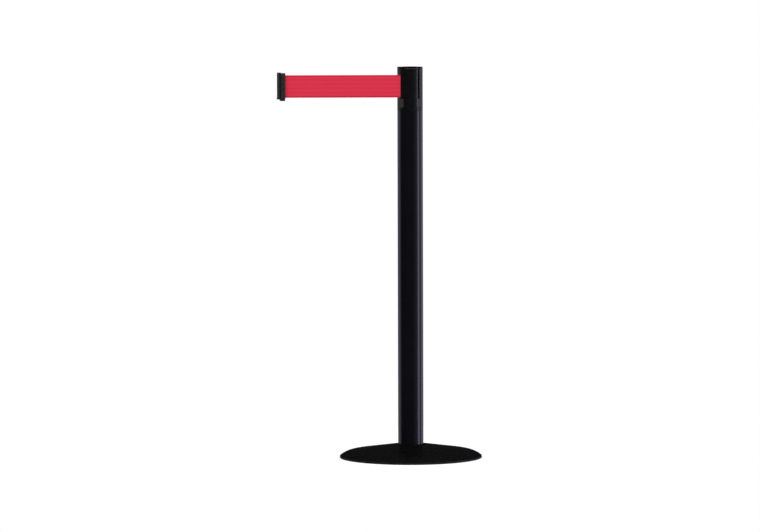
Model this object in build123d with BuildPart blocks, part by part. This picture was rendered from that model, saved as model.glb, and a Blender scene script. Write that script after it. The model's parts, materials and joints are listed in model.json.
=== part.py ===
from build123d import *
from math import acos, cos, pi, radians, sin, sqrt, tan
import os

# Retractable belt stanchion: a round post on a weighted base. The head holds a spring-wound belt
# cassette and three T-slots that take the belt ends of other posts. All sizes are in millimetres.
# +Z is up and the origin is the centre of the base's underside, on the floor. The belt is drawn
# out along -X and passes in front of the post's axis, on its -Y side.

# ---- driving dimensions ----
POST_HEIGHT = 978.0
POST_RADIUS = 31.75
TUBE_WALL = 1.6
EDGE_BREAK = 0.3
BASE_RADIUS = 177.8
CAP_THICKNESS = 2.8
BELT_WIDTH = 56.0
BELT_THICKNESS = 0.4
BELT_OUT = 310.2
EXIT_ANGLE = 225.0
MOUTH_WIDTH = 15.1
THROAT_WIDTH = 6.8
GEAR_MODULE = 0.5
DRIVE_TEETH = 42
PINION_TEETH = 14

# ---- worked out from them ----
BORE_RADIUS = POST_RADIUS - TUBE_WALL
TUBE_TOP = POST_HEIGHT - CAP_THICKNESS
COLLAR_BOTTOM = TUBE_TOP - 2.0
BELT_TOP = POST_HEIGHT - 19.75
BELT_BOTTOM = BELT_TOP - BELT_WIDTH
BELT_MIDDLE = (BELT_TOP + BELT_BOTTOM) / 2
BELT_Y = -20.3
SLOT_BOTTOM = POST_HEIGHT - 102.8
HEAD_JOINT = POST_HEIGHT - 109.0
RECEIVER_FLOOR = POST_HEIGHT - 79.0
EXIT_ANGLES = [EXIT_ANGLE]
RECEIVER_ANGLES = [EXIT_ANGLE + 90, EXIT_ANGLE + 180, EXIT_ANGLE + 270]
PILLAR_ANGLE = EXIT_ANGLE + 45
PILLAR_SCREW_RING = 25.4
CORE_RADIUS = BORE_RADIUS - 0.15
POCKET_FLAT = 21.6
POCKET_DEPTH = 6.3
LIP_FACE = 30.6
NOSE_RADIUS = POST_RADIUS - 0.15
POCKET_WIDTH = 23.2
CORE_BOTTOM = 850.0
CHAMBER_FLOOR = RECEIVER_FLOOR - 1.5
CHAMBER_RADIUS = 19.3
PLATE_BOTTOM = BELT_TOP + 4.75
PLATE_TOP = PLATE_BOTTOM + 3.0
PLATE_RADIUS = 20.4
HUB_RADIUS = 6.0
ROLL_RADIUS = 17.4
FLANGE_RADIUS = 18.8
SPINDLE_RADIUS = 3.0
RUNNING_CLEARANCE = 0.05
BUSH_RADIUS = 5.0
HOUSING_RADIUS = BORE_RADIUS - 0.55
BARREL_BOTTOM = CORE_BOTTOM - 32.0
GEARBOX_BOTTOM = BARREL_BOTTOM - 38.0
COVER_BOTTOM = GEARBOX_BOTTOM - 4.0
BRAKE_Y = GEAR_MODULE * (DRIVE_TEETH + PINION_TEETH) / 2
CASSETTE_SCREW_RING = 26.2
CASSETTE_SCREW_ANGLE = 30.0
COVER_SHEET = 1.2
CONE_SLOPE = 0.151
SHOULDER_RADIUS = 150.0
SHOULDER_HEIGHT = 16.9
RING_HEIGHT = 5.0
PAD_THICKNESS = 3.0
WEIGHT_RADIUS = 164.0
TUBE_SEAT = 24.0
BOLT_RADIUS = 6.0

# ---- belt end, measured from the post's axis along -X ----
BELT_END_INNER = -BELT_OUT
CLAMP_LENGTH = 10.9
NECK_LENGTH = 4.2
FLANGE_DEPTH = 5.8
FLANGE_WIDTH = 22.0
NECK_WIDTH = 5.6
CLAMP_WIDTH = 14.0
CLAMP_DROP = 1.4
CLAMP_FACE = BELT_END_INNER - CLAMP_LENGTH
NECK_END = CLAMP_FACE - NECK_LENGTH
FLANGE_FACE = NECK_END - FLANGE_DEPTH
END_TOP = POST_HEIGHT - 13.1
END_BOTTOM = POST_HEIGHT - 78.7
TAB_DROP = 5.0
BELT_PIN_X = BELT_END_INNER - 5.2

os.makedirs("parts", exist_ok=True)


def save(piece, name):
    """Labels a finished piece and writes it as a file of its own."""
    piece.part.label = name
    export_step(piece.part, f"parts/{name}.step")


def radial_plane(angle):
    """An upright plane through the post's axis: x runs round the post, y up, z outwards."""
    a = radians(angle)
    return Plane(origin=(0, 0, 0), x_dir=(-sin(a), cos(a), 0), z_dir=(cos(a), sin(a), 0))


def save_ring(name, outer, inner, bottom, top, centre=(0, 0), edge=0.0):
    """A plain ring, washer or bush on an upright axis, with its two outer edges broken."""
    with BuildPart() as ring:
        with BuildSketch(Plane.XY.offset(bottom)):
            with Locations(centre):
                Circle(outer)
                Circle(inner, mode=Mode.SUBTRACT)
        extrude(amount=top - bottom)
        if edge:
            rims = ring.edges().filter_by(GeomType.CIRCLE)
            chamfer([rim for rim in rims if abs(rim.radius - outer) < 0.01], edge)
    save(ring, name)


def gear_outline(teeth, first_tooth):
    """The points round an involute gear of 25 degree pressure angle, one tooth after another."""
    pressure = radians(25)
    pitch = GEAR_MODULE * teeth / 2
    base = pitch * cos(pressure)
    tip = pitch + 0.85 * GEAR_MODULE
    root = pitch - 1.15 * GEAR_MODULE
    backlash = 0.07
    half_tooth = pi / (2 * teeth) - backlash / (2 * pitch)
    flank = []
    lowest = max(base, root)
    for step in range(5):
        radius = lowest + (tip - lowest) * step / 4
        roll = acos(min(1.0, base / radius))
        spread = half_tooth + tan(pressure) - pressure - (tan(roll) - roll)
        flank.append((radius, spread))
    if root < base:
        flank.insert(0, (root, flank[0][1]))
    points = []
    for tooth in range(teeth):
        middle = radians(first_tooth) + 2 * pi * tooth / teeth
        for radius, spread in flank:
            points.append((radius * cos(middle - spread), radius * sin(middle - spread)))
        for radius, spread in reversed(flank):
            points.append((radius * cos(middle + spread), radius * sin(middle + spread)))
    return points


# =============================== base ===============================

with BuildPart() as floor_pad:
    with BuildSketch(Plane.XZ):
        with BuildLine():
            Polyline(
                (0, 0),
                (BASE_RADIUS - 0.8, 0),
                (BASE_RADIUS, 0.8),
                (BASE_RADIUS, RING_HEIGHT - 0.5),
                (BASE_RADIUS - 0.5, RING_HEIGHT),
                (WEIGHT_RADIUS + 0.6, RING_HEIGHT),
                (WEIGHT_RADIUS + 0.6, PAD_THICKNESS),
                (0, PAD_THICKNESS),
                close=True,
            )
        make_face()
    revolve(axis=Axis.Z)
save(floor_pad, "floor_pad")

with BuildPart() as base_weight:
    cone_rise = CONE_SLOPE * (SHOULDER_RADIUS - POST_RADIUS)
    with BuildSketch(Plane.XZ):
        with BuildLine():
            Polyline(
                (16, PAD_THICKNESS),
                (WEIGHT_RADIUS, PAD_THICKNESS),
                (WEIGHT_RADIUS, 10.4),
                (SHOULDER_RADIUS, SHOULDER_HEIGHT - 1.8),
                (POST_RADIUS + 0.6, SHOULDER_HEIGHT + cone_rise - 1.9),
                (POST_RADIUS + 0.6, TUBE_SEAT),
                (BOLT_RADIUS + 0.6, TUBE_SEAT),
                (BOLT_RADIUS + 0.6, 13.5),
                (16, 13.5),
                close=True,
            )
        make_face()
    revolve(axis=Axis.Z)
save(base_weight, "base_weight")

with BuildPart() as base_cover:
    hole = POST_RADIUS + 0.25
    hole_height = SHOULDER_HEIGHT + CONE_SLOPE * (SHOULDER_RADIUS - hole)
    slope_length = sqrt(1 + CONE_SLOPE**2)
    inset = COVER_SHEET * CONE_SLOPE / slope_length
    drop = COVER_SHEET / slope_length
    rim = BASE_RADIUS - 0.5
    with BuildSketch(Plane.XZ):
        with BuildLine():
            Line((hole, hole_height), (SHOULDER_RADIUS, SHOULDER_HEIGHT))
            TangentArc(
                (SHOULDER_RADIUS, SHOULDER_HEIGHT), (rim, RING_HEIGHT), tangent=(1, -CONE_SLOPE)
            )
            Line((rim, RING_HEIGHT), (rim - COVER_SHEET, RING_HEIGHT))
            TangentArc(
                (SHOULDER_RADIUS - inset, SHOULDER_HEIGHT - drop),
                (rim - COVER_SHEET, RING_HEIGHT),
                tangent=(1, -CONE_SLOPE),
            )
            Line(
                (SHOULDER_RADIUS - inset, SHOULDER_HEIGHT - drop),
                (hole, hole_height - COVER_SHEET * slope_length),
            )
            Line((hole, hole_height - COVER_SHEET * slope_length), (hole, hole_height))
        make_face()
    revolve(axis=Axis.Z)
save(base_cover, "base_cover")

with BuildPart() as foot_plug:
    with BuildSketch(Plane.XY.offset(TUBE_SEAT)):
        Circle(BORE_RADIUS)
        Circle(BOLT_RADIUS, mode=Mode.SUBTRACT)
    extrude(amount=40)
    chamfer(foot_plug.edges().filter_by(GeomType.CIRCLE).group_by(Axis.Z)[-1], 1.5)
save(foot_plug, "foot_plug")

with BuildPart() as base_bolt:
    with BuildSketch(Plane.XY.offset(3.4)):
        RegularPolygon(9.5, 6, major_radius=False)
    extrude(amount=6.4)
    chamfer(base_bolt.faces().sort_by(Axis.Z)[0].edges(), 0.6)
    with BuildSketch(Plane.XY.offset(9.8)):
        Circle(BOLT_RADIUS - 0.02)
    extrude(amount=46)
    chamfer(base_bolt.faces().sort_by(Axis.Z)[-1].edges(), 1.0)
save(base_bolt, "base_bolt")

save_ring("base_washer", 12.0, BOLT_RADIUS + 0.3, 12.0, 13.5)

with BuildPart() as base_lock_washer:
    with BuildSketch(Plane.XY.offset(9.8)):
        Circle(10.2)
        Circle(BOLT_RADIUS + 0.2, mode=Mode.SUBTRACT)
        with Locations((8.2, 0)):
            Rectangle(6, 1.2, rotation=25, mode=Mode.SUBTRACT)
    extrude(amount=2.2)
save(base_lock_washer, "base_lock_washer")

# =============================== post ===============================

SLOT_PLANES = [radial_plane(angle) for angle in EXIT_ANGLES + RECEIVER_ANGLES]
HEAD_SCREW_ANGLES = [EXIT_ANGLE + 180, EXIT_ANGLE + 270]
HEAD_SCREW_Z = CORE_BOTTOM + 9.0

with BuildPart() as post_tube:
    with BuildSketch(Plane.XY.offset(TUBE_SEAT)):
        Circle(POST_RADIUS)
        Circle(BORE_RADIUS, mode=Mode.SUBTRACT)
    extrude(amount=HEAD_JOINT - TUBE_SEAT)
    top_rims = post_tube.edges().filter_by(GeomType.CIRCLE).group_by(Axis.Z)[-1]
    chamfer(top_rims.sort_by(SortBy.RADIUS)[-1], EDGE_BREAK)
    with BuildSketch(*[radial_plane(angle) for angle in HEAD_SCREW_ANGLES]):
        with Locations((0, HEAD_SCREW_Z)):
            Circle(2.1)
    extrude(amount=POST_RADIUS + 5, mode=Mode.SUBTRACT)
save(post_tube, "post_tube")

# =============================== head ===============================

with BuildPart() as head_shell:
    with BuildSketch(Plane.XY.offset(HEAD_JOINT)):
        Circle(POST_RADIUS)
        Circle(BORE_RADIUS, mode=Mode.SUBTRACT)
    extrude(amount=COLLAR_BOTTOM - HEAD_JOINT)
    bottom_rims = head_shell.edges().filter_by(GeomType.CIRCLE).group_by(Axis.Z)[0]
    chamfer(bottom_rims.sort_by(SortBy.RADIUS)[-1], EDGE_BREAK)
    with BuildSketch(*SLOT_PLANES):
        with Locations((0, SLOT_BOTTOM + MOUTH_WIDTH / 2)):
            Circle(MOUTH_WIDTH / 2)
            Rectangle(MOUTH_WIDTH, 120, align=(Align.CENTER, Align.MIN))
    extrude(amount=POST_RADIUS + 5, mode=Mode.SUBTRACT)
save(head_shell, "head_shell")

with BuildPart() as core_base:
    with BuildSketch(Plane.XY.offset(CORE_BOTTOM)):
        Circle(CORE_RADIUS)
    extrude(amount=CHAMBER_FLOOR - CORE_BOTTOM)
    # Lugs that fill the rounded feet of the shell's four slots.
    with BuildSketch(*SLOT_PLANES):
        foot_centre = SLOT_BOTTOM + MOUTH_WIDTH / 2
        with Locations((0, foot_centre)):
            Circle(MOUTH_WIDTH / 2 - 0.15)
            Rectangle(
                MOUTH_WIDTH - 0.3, CHAMBER_FLOOR - foot_centre, align=(Align.CENTER, Align.MIN)
            )
    extrude(amount=LIP_FACE)
    # Seat of the lower bush, and the hollow over the spring.
    with BuildSketch(Plane.XY.offset(CORE_BOTTOM)):
        Circle(BUSH_RADIUS)
    extrude(amount=60, mode=Mode.SUBTRACT)
    with BuildSketch(Plane.XY.offset(CORE_BOTTOM)):
        Circle(20)
    extrude(amount=24, mode=Mode.SUBTRACT)
    # Threaded holes for the cassette screws, the tie screws and the two head screws.
    with BuildSketch(Plane.XY.offset(CORE_BOTTOM)):
        with PolarLocations(CASSETTE_SCREW_RING, 3, start_angle=CASSETTE_SCREW_ANGLE):
            Circle(1.6)
    extrude(amount=13, mode=Mode.SUBTRACT)
    with BuildSketch(Plane.XY.offset(CHAMBER_FLOOR - 10)):
        with PolarLocations(PILLAR_SCREW_RING, 4, start_angle=PILLAR_ANGLE):
            Circle(1.25)
    extrude(amount=10, mode=Mode.SUBTRACT)
    with BuildSketch(*[radial_plane(angle).offset(22) for angle in HEAD_SCREW_ANGLES]):
        with Locations((0, HEAD_SCREW_Z)):
            Circle(2.0)
    extrude(amount=POST_RADIUS, mode=Mode.SUBTRACT)
save(core_base, "core_base")

with BuildPart() as head_core:
    with BuildSketch(Plane.XY.offset(CHAMBER_FLOOR)):
        Circle(CORE_RADIUS)
        with PolarLocations(0, 4, start_angle=EXIT_ANGLE):
            Rectangle(LIP_FACE, MOUTH_WIDTH - 0.3, align=(Align.MIN, Align.CENTER))
        Circle(CHAMBER_RADIUS, mode=Mode.SUBTRACT)
        with PolarLocations(PILLAR_SCREW_RING, 4, start_angle=PILLAR_ANGLE):
            Circle(1.6, mode=Mode.SUBTRACT)
    extrude(amount=TUBE_TOP - CHAMBER_FLOOR)
    # Collar between the shell and the cap.
    with BuildSketch(Plane.XY.offset(COLLAR_BOTTOM)):
        Circle(POST_RADIUS)
        Circle(CORE_RADIUS - 0.5, mode=Mode.SUBTRACT)
    extrude(amount=TUBE_TOP - COLLAR_BOTTOM)
    with BuildSketch(Plane.XY.offset(PLATE_BOTTOM)):
        Circle(PLATE_RADIUS)
    extrude(amount=100, mode=Mode.SUBTRACT)
    # T-slots of the three receivers, and the wider pocket of the belt's exit.
    with BuildSketch(Plane.XY.offset(RECEIVER_FLOOR)):
        with PolarLocations(POCKET_FLAT, 3, start_angle=EXIT_ANGLE + 90, angular_range=270):
            Rectangle(POCKET_DEPTH, POCKET_WIDTH, align=(Align.MIN, Align.CENTER))
            Rectangle(20, THROAT_WIDTH, align=(Align.MIN, Align.CENTER))
        with PolarLocations(POCKET_FLAT, 1, start_angle=EXIT_ANGLE):
            Rectangle(20, POCKET_WIDTH, align=(Align.MIN, Align.CENTER))
    extrude(amount=100, mode=Mode.SUBTRACT)
    # The belt's way from the chamber to the exit slot.
    with BuildSketch(Plane.XY.offset(BELT_BOTTOM - 1.5)):
        with PolarLocations(POCKET_FLAT, 1, start_angle=EXIT_ANGLE):
            Rectangle(9, POCKET_WIDTH, align=(Align.MAX, Align.CENTER))
    extrude(amount=BELT_WIDTH + 3, mode=Mode.SUBTRACT)
    # Catch holes for the belt ends' release slides.
    with BuildSketch(*[radial_plane(angle) for angle in RECEIVER_ANGLES]):
        with Locations((0, RECEIVER_FLOOR + 1.6)):
            Rectangle(3.6, 3.2)
    extrude(amount=POCKET_FLAT + 1, mode=Mode.SUBTRACT)
save(head_core, "head_core")

# The belt's line in plan: off the roll, round the guide pin, straight out along -X.
GUIDE_X = -18.5
guide_reach = sqrt(GUIDE_X**2 + BELT_Y**2)
LEAVE_RADIUS = ROLL_RADIUS + BELT_THICKNESS / 2 + 0.3
leave_angle = pi + acos(-GUIDE_X / guide_reach) + acos(LEAVE_RADIUS / guide_reach)
LEAVE_POINT = (LEAVE_RADIUS * cos(leave_angle), LEAVE_RADIUS * sin(leave_angle))
GUIDE_BEND = 2.0
EXIT_GAP = 1.1
BELT_CORNERS = [LEAVE_POINT, (GUIDE_X, BELT_Y), (BELT_PIN_X, BELT_Y)]

with BuildPart() as belt_exit_guide:
    with BuildSketch(Plane.XY.offset(RECEIVER_FLOOR + 0.2)):
        with PolarLocations(POCKET_FLAT + 0.1, 1, start_angle=EXIT_ANGLE):
            Rectangle(20, POCKET_WIDTH - 0.3, align=(Align.MIN, Align.CENTER))
        Circle(CORE_RADIUS, mode=Mode.INTERSECT)
    extrude(amount=TUBE_TOP - RECEIVER_FLOOR - 0.3)
    with BuildSketch(Plane.XY.offset(RECEIVER_FLOOR + 0.2)):
        with PolarLocations(POCKET_FLAT + 0.1, 1, start_angle=EXIT_ANGLE):
            Rectangle(20, MOUTH_WIDTH - 0.4, align=(Align.MIN, Align.CENTER))
        Circle(NOSE_RADIUS, mode=Mode.INTERSECT)
    extrude(amount=TUBE_TOP - RECEIVER_FLOOR - 0.3)
    # Its share of the collar.
    with BuildSketch(Plane.XY.offset(COLLAR_BOTTOM)):
        with PolarLocations(POCKET_FLAT + 0.1, 1, start_angle=EXIT_ANGLE):
            Rectangle(20, POCKET_WIDTH - 0.3, align=(Align.MIN, Align.CENTER))
        Circle(POST_RADIUS, mode=Mode.INTERSECT)
    extrude(amount=TUBE_TOP - COLLAR_BOTTOM - 0.1)
    with BuildSketch(Plane.XY.offset(BELT_BOTTOM - 1)):
        with BuildLine():
            FilletPolyline(LEAVE_POINT, (GUIDE_X, BELT_Y), (GUIDE_X - 40, BELT_Y), radius=GUIDE_BEND)
        trace(line_width=EXIT_GAP)
    extrude(amount=BELT_WIDTH + 2, mode=Mode.SUBTRACT)
    with BuildSketch(Plane.XY.offset(BELT_BOTTOM - 2.5)):
        with Locations((GUIDE_X, BELT_Y + GUIDE_BEND)):
            Circle(1.5)
    extrude(amount=BELT_WIDTH + 5, mode=Mode.SUBTRACT)
save(belt_exit_guide, "belt_exit_guide")

with BuildPart() as belt_guide_pin:
    with BuildSketch(Plane.XY.offset(BELT_BOTTOM - 2.4)):
        with Locations((GUIDE_X, BELT_Y + GUIDE_BEND)):
            Circle(1.48)
    extrude(amount=BELT_WIDTH + 4.8)
save(belt_guide_pin, "belt_guide_pin")

with BuildPart() as top_cap:
    with BuildSketch(Plane.XY.offset(TUBE_TOP)):
        Circle(POST_RADIUS)
    extrude(amount=CAP_THICKNESS)
    fillet(top_cap.faces().sort_by(Axis.Z)[-1].edges(), 1.2)
    with BuildSketch(Plane.XY.offset(PLATE_TOP)):
        Circle(PLATE_RADIUS - 0.2)
        Circle(11, mode=Mode.SUBTRACT)
    extrude(amount=TUBE_TOP - PLATE_TOP)
    # T-shaped notches over the receivers and a plain one over the belt's exit.
    with BuildSketch(Plane.XY.offset(TUBE_TOP)):
        with PolarLocations(POCKET_FLAT, 3, start_angle=EXIT_ANGLE + 90, angular_range=270):
            Rectangle(POCKET_DEPTH, POCKET_WIDTH, align=(Align.MIN, Align.CENTER))
            Rectangle(20, THROAT_WIDTH, align=(Align.MIN, Align.CENTER))
        with PolarLocations(POCKET_FLAT + POCKET_DEPTH, 1, start_angle=EXIT_ANGLE):
            Rectangle(20, MOUTH_WIDTH, align=(Align.MIN, Align.CENTER))
    extrude(amount=CAP_THICKNESS, mode=Mode.SUBTRACT)
    with BuildSketch(Plane.XY.offset(TUBE_TOP)):
        with PolarLocations(PILLAR_SCREW_RING, 4, start_angle=PILLAR_ANGLE):
            Circle(1.6)
    extrude(amount=CAP_THICKNESS, mode=Mode.SUBTRACT)
    with BuildSketch(Plane.XY.offset(POST_HEIGHT - 1.9)):
        with PolarLocations(PILLAR_SCREW_RING, 4, start_angle=PILLAR_ANGLE):
            Circle(3.1)
    extrude(amount=2, mode=Mode.SUBTRACT)
save(top_cap, "top_cap")

with BuildPart() as tie_screws:
    with BuildSketch(Plane.XY.offset(POST_HEIGHT - 1.9)):
        with PolarLocations(PILLAR_SCREW_RING, 4, start_angle=PILLAR_ANGLE):
            Circle(2.9)
    extrude(amount=1.7)
    with BuildSketch(Plane.XY.offset(CHAMBER_FLOOR - 9)):
        with PolarLocations(PILLAR_SCREW_RING, 4, start_angle=PILLAR_ANGLE):
            Circle(1.22)
    extrude(amount=POST_HEIGHT - 1.9 - CHAMBER_FLOOR + 9)
    with BuildSketch(Plane.XY.offset(POST_HEIGHT - 1.4)):
        with PolarLocations(PILLAR_SCREW_RING, 4, start_angle=PILLAR_ANGLE):
            RegularPolygon(1.0, 6)
    extrude(amount=2, mode=Mode.SUBTRACT)
save(tie_screws, "tie_screws")

with BuildPart() as head_screws:
    for angle in HEAD_SCREW_ANGLES:
        with BuildSketch(radial_plane(angle).offset(23)):
            with Locations((0, HEAD_SCREW_Z)):
                Circle(1.98)
        extrude(amount=POST_RADIUS - 23)
        with BuildSketch(radial_plane(angle).offset(POST_RADIUS)):
            with Locations((0, HEAD_SCREW_Z)):
                Circle(3.4)
        extrude(amount=1.8)
        with BuildSketch(radial_plane(angle).offset(POST_RADIUS + 0.8)):
            with Locations((0, HEAD_SCREW_Z)):
                RegularPolygon(1.4, 6)
        extrude(amount=2, mode=Mode.SUBTRACT)
save(head_screws, "head_screws")

# =============================== belt cassette: fixed pieces ===============================

with BuildPart() as bearing_plate:
    with BuildSketch(Plane.XY.offset(PLATE_BOTTOM)):
        Circle(PLATE_RADIUS - 0.1)
        Circle(BUSH_RADIUS, mode=Mode.SUBTRACT)
    extrude(amount=PLATE_TOP - PLATE_BOTTOM)
save(bearing_plate, "bearing_plate")

save_ring("upper_bush", BUSH_RADIUS, SPINDLE_RADIUS + RUNNING_CLEARANCE, PLATE_BOTTOM - 1, PLATE_TOP)
save_ring(
    "lower_bush", BUSH_RADIUS, SPINDLE_RADIUS + RUNNING_CLEARANCE, CORE_BOTTOM + 24, CHAMBER_FLOOR + 1
)

with BuildPart() as spring_barrel:
    with BuildSketch(Plane.XY.offset(BARREL_BOTTOM)):
        Circle(HOUSING_RADIUS)
        Circle(4.2, mode=Mode.SUBTRACT)
    extrude(amount=CORE_BOTTOM - BARREL_BOTTOM)
    with BuildSketch(Plane.XY.offset(BARREL_BOTTOM + 2)):
        Circle(23.6)
    extrude(amount=CORE_BOTTOM - BARREL_BOTTOM, mode=Mode.SUBTRACT)
    with BuildSketch(Plane.XY.offset(BARREL_BOTTOM)):
        with PolarLocations(CASSETTE_SCREW_RING, 3, start_angle=CASSETTE_SCREW_ANGLE):
            Circle(1.7)
    extrude(amount=CORE_BOTTOM - BARREL_BOTTOM, mode=Mode.SUBTRACT)
save(spring_barrel, "spring_barrel")

save_ring("spring_cover", 23.5, 4.2, CORE_BOTTOM - 2, CORE_BOTTOM)

with BuildPart() as power_spring:
    TURNS = 10
    STEPS_PER_TURN = 24
    STRIP = 0.3
    inner_side = []
    outer_side = []
    for step in range(TURNS * STEPS_PER_TURN + 1):
        turn = 2 * pi * step / STEPS_PER_TURN
        radius = 5.6 + (23.1 - 5.6) * step / (TURNS * STEPS_PER_TURN)
        inner_side.append((radius * cos(turn), radius * sin(turn)))
        outer_side.append(((radius + STRIP) * cos(turn), (radius + STRIP) * sin(turn)))
    with BuildSketch(Plane.XY.offset(BARREL_BOTTOM + 3)):
        with BuildLine():
            Polyline(*inner_side, *reversed(outer_side), close=True)
        make_face()
    extrude(amount=24)
save(power_spring, "power_spring")

with BuildPart() as gearbox_housing:
    with BuildSketch(Plane.XY.offset(GEARBOX_BOTTOM)):
        Circle(HOUSING_RADIUS)
    extrude(amount=BARREL_BOTTOM - GEARBOX_BOTTOM)
    # Drum that the brake shoes rub on, open at the bottom.
    with BuildSketch(Plane.XY.offset(GEARBOX_BOTTOM)):
        with Locations((0, BRAKE_Y)):
            Circle(13.8)
    extrude(amount=20, mode=Mode.SUBTRACT)
    # Room for the two gears, open at the top.
    with BuildSketch(Plane.XY.offset(GEARBOX_BOTTOM + 24)):
        Circle(11.8)
        with Locations((0, BRAKE_Y)):
            Circle(4.8)
    extrude(amount=20, mode=Mode.SUBTRACT)
    with BuildSketch(Plane.XY.offset(GEARBOX_BOTTOM + 20)):
        with Locations((0, BRAKE_Y)):
            Circle(2.6)
    extrude(amount=10, mode=Mode.SUBTRACT)
    with BuildSketch(Plane.XY.offset(GEARBOX_BOTTOM)):
        with PolarLocations(CASSETTE_SCREW_RING, 3, start_angle=CASSETTE_SCREW_ANGLE):
            Circle(1.7)
    extrude(amount=BARREL_BOTTOM - GEARBOX_BOTTOM, mode=Mode.SUBTRACT)
save(gearbox_housing, "gearbox_housing")

with BuildPart() as brake_cover:
    with BuildSketch(Plane.XY.offset(COVER_BOTTOM)):
        Circle(HOUSING_RADIUS)
        with Locations((0, BRAKE_Y)):
            Circle(2.6, mode=Mode.SUBTRACT)
        with PolarLocations(CASSETTE_SCREW_RING, 3, start_angle=CASSETTE_SCREW_ANGLE):
            Circle(1.7, mode=Mode.SUBTRACT)
    extrude(amount=GEARBOX_BOTTOM - COVER_BOTTOM)
save(brake_cover, "brake_cover")

with BuildPart() as brake_bushes:
    for bottom, top in [(COVER_BOTTOM, GEARBOX_BOTTOM), (GEARBOX_BOTTOM + 20, GEARBOX_BOTTOM + 24)]:
        with BuildSketch(Plane.XY.offset(bottom)):
            with Locations((0, BRAKE_Y)):
                Circle(2.6)
                Circle(1.5 + RUNNING_CLEARANCE, mode=Mode.SUBTRACT)
        extrude(amount=top - bottom)
save(brake_bushes, "brake_bushes")

with BuildPart() as cassette_screws:
    with BuildSketch(Plane.XY.offset(COVER_BOTTOM - 2.4)):
        with PolarLocations(CASSETTE_SCREW_RING, 3, start_angle=CASSETTE_SCREW_ANGLE):
            Circle(2.8)
    extrude(amount=2.4)
    with BuildSketch(Plane.XY.offset(COVER_BOTTOM)):
        with PolarLocations(CASSETTE_SCREW_RING, 3, start_angle=CASSETTE_SCREW_ANGLE):
            Circle(1.58)
    extrude(amount=CORE_BOTTOM + 11 - COVER_BOTTOM)
save(cassette_screws, "cassette_screws")

# =============================== belt cassette: turning pieces ===============================

with BuildPart() as spindle:
    with BuildSketch(Plane.XY.offset(GEARBOX_BOTTOM + 28)):
        Circle(SPINDLE_RADIUS)
    extrude(amount=PLATE_TOP + 2.6 - GEARBOX_BOTTOM - 28)
    chamfer(spindle.edges().filter_by(GeomType.CIRCLE), 0.4)
    # Groove for the retaining clip over the upper bush.
    with BuildSketch(Plane.XY.offset(PLATE_TOP + 0.6)):
        Circle(SPINDLE_RADIUS + 1)
        Circle(SPINDLE_RADIUS - 0.6, mode=Mode.SUBTRACT)
    extrude(amount=0.8, mode=Mode.SUBTRACT)
save(spindle, "spindle")

with BuildPart() as retaining_clip:
    with BuildSketch(Plane.XY.offset(PLATE_TOP + 0.65)):
        Circle(5.2)
        Circle(SPINDLE_RADIUS - 0.58, mode=Mode.SUBTRACT)
        with Locations((4, 0)):
            Rectangle(8, 3.2, mode=Mode.SUBTRACT)
    extrude(amount=0.7)
save(retaining_clip, "retaining_clip")

with BuildPart() as spool_drum:
    with BuildSketch(Plane.XY.offset(BELT_BOTTOM - 2.5)):
        Circle(FLANGE_RADIUS)
    extrude(amount=2)
    with BuildSketch(Plane.XY.offset(BELT_BOTTOM - 0.5)):
        Circle(HUB_RADIUS)
    extrude(amount=BELT_WIDTH + 1)
    with BuildSketch(Plane.XY.offset(BELT_BOTTOM - 2.5)):
        Circle(SPINDLE_RADIUS)
    extrude(amount=BELT_WIDTH + 5, mode=Mode.SUBTRACT)
    with BuildSketch(Plane.XY.offset(BELT_BOTTOM - 0.5)):
        with Locations((4.7, 0)):
            Circle(0.8)
    extrude(amount=BELT_WIDTH + 1, mode=Mode.SUBTRACT)
save(spool_drum, "spool_drum")

save_ring("spool_top_flange", FLANGE_RADIUS, SPINDLE_RADIUS, BELT_TOP + 0.5, BELT_TOP + 2.5, edge=0.4)
save_ring("belt_roll", ROLL_RADIUS, HUB_RADIUS, BELT_BOTTOM, BELT_TOP)

with BuildPart() as belt_anchor_pin:
    with BuildSketch(Plane.XY.offset(BELT_BOTTOM)):
        with Locations((4.7, 0)):
            Circle(0.78)
    extrude(amount=BELT_WIDTH)
save(belt_anchor_pin, "belt_anchor_pin")

with BuildPart() as spring_arbor:
    with BuildSketch(Plane.XY.offset(BARREL_BOTTOM + 2.4)):
        Circle(5.2)
        Circle(SPINDLE_RADIUS, mode=Mode.SUBTRACT)
    extrude(amount=CORE_BOTTOM - BARREL_BOTTOM - 4.8)
save(spring_arbor, "spring_arbor")

with BuildPart() as drive_gear:
    with BuildSketch(Plane.XY.offset(GEARBOX_BOTTOM + 29)):
        with BuildLine():
            Polyline(*gear_outline(DRIVE_TEETH, 90 + 180 / DRIVE_TEETH), close=True)
        make_face()
        Circle(SPINDLE_RADIUS, mode=Mode.SUBTRACT)
        with PolarLocations(6.4, 5):
            Circle(1.5, mode=Mode.SUBTRACT)
    extrude(amount=5)
save(drive_gear, "drive_gear")

# =============================== slow-return brake ===============================

with BuildPart() as brake_pinion:
    with BuildSketch(Plane(origin=(0, BRAKE_Y, GEARBOX_BOTTOM + 28.4))):
        with BuildLine():
            Polyline(*gear_outline(PINION_TEETH, 270), close=True)
        make_face()
        Circle(1.5, mode=Mode.SUBTRACT)
    extrude(amount=6.2)
save(brake_pinion, "brake_pinion")

with BuildPart() as brake_shaft:
    with BuildSketch(Plane(origin=(0, BRAKE_Y, COVER_BOTTOM + 0.4))):
        Circle(1.5)
    extrude(amount=GEARBOX_BOTTOM + 36 - COVER_BOTTOM)
    chamfer(brake_shaft.edges().filter_by(GeomType.CIRCLE), 0.25)
save(brake_shaft, "brake_shaft")

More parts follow.
